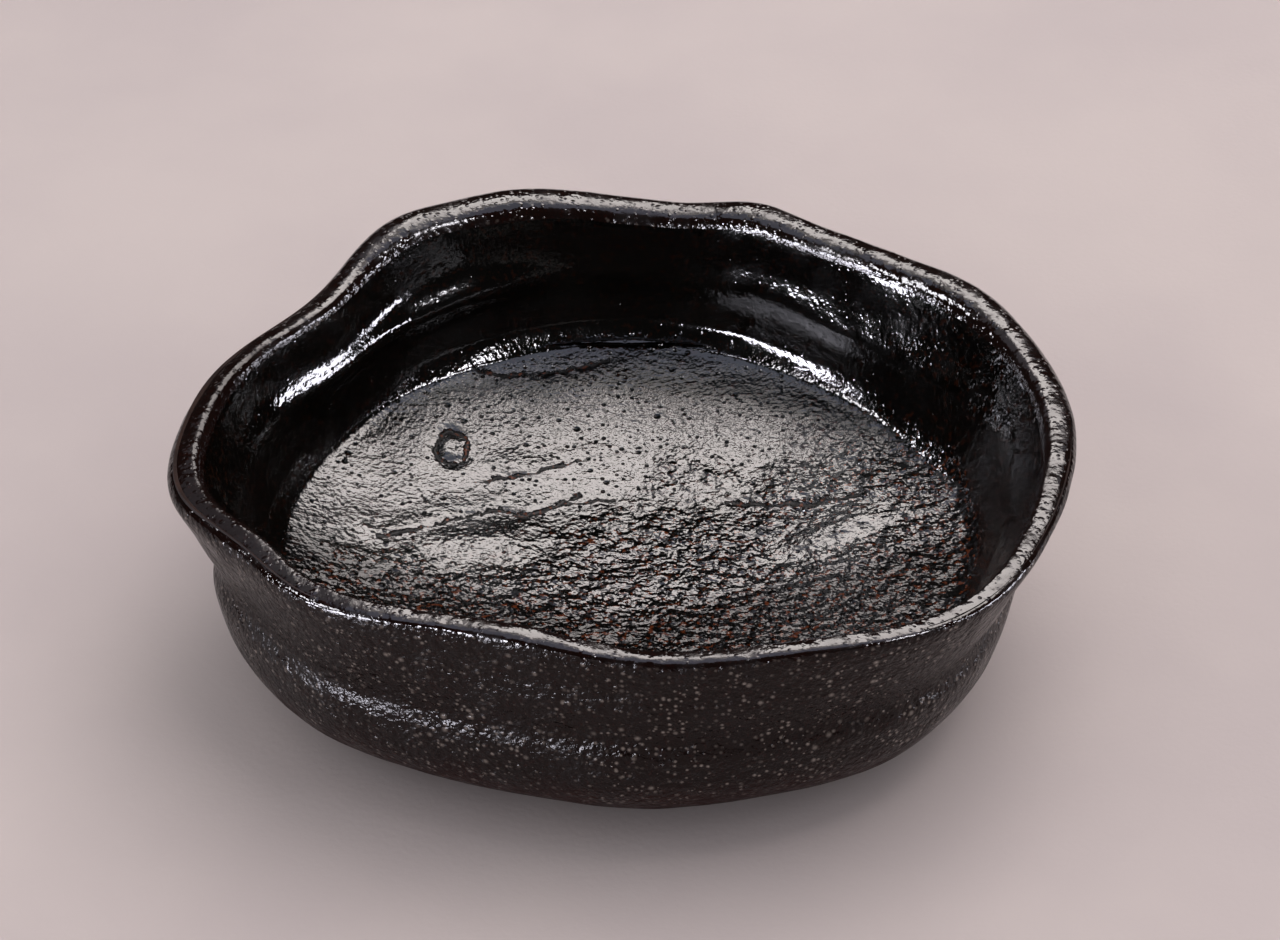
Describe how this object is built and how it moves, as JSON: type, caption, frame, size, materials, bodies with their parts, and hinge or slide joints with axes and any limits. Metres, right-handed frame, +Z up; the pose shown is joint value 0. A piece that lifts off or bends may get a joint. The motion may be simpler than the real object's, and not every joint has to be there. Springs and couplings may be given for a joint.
{
  "type": "tea bowl",
  "caption": "Low, wide tea bowl, pressed out of round by hand, with a coil foot and a pitted black iron glaze.",
  "frame": {"origin": "the middle of the bowl's plan, on the surface that it stands on", "axes": "+Z up out of the bowl, +X along its longest way towards the right-hand end, +Y towards the back"},
  "size_m": [0.152, 0.1278, 0.0508],
  "materials": {
    "fired_stoneware": "bare, matt",
    "inside_iron_glaze": "gloss, finely pitted",
    "outside_iron_glaze": "satin, speckled"
  },
  "bodies": {
    "root": {"clay_body": "fired_stoneware", "foot_ring": "fired_stoneware", "inside_glaze": "inside_iron_glaze", "outside_glaze": "outside_iron_glaze"}
  },
  "joints": []
}
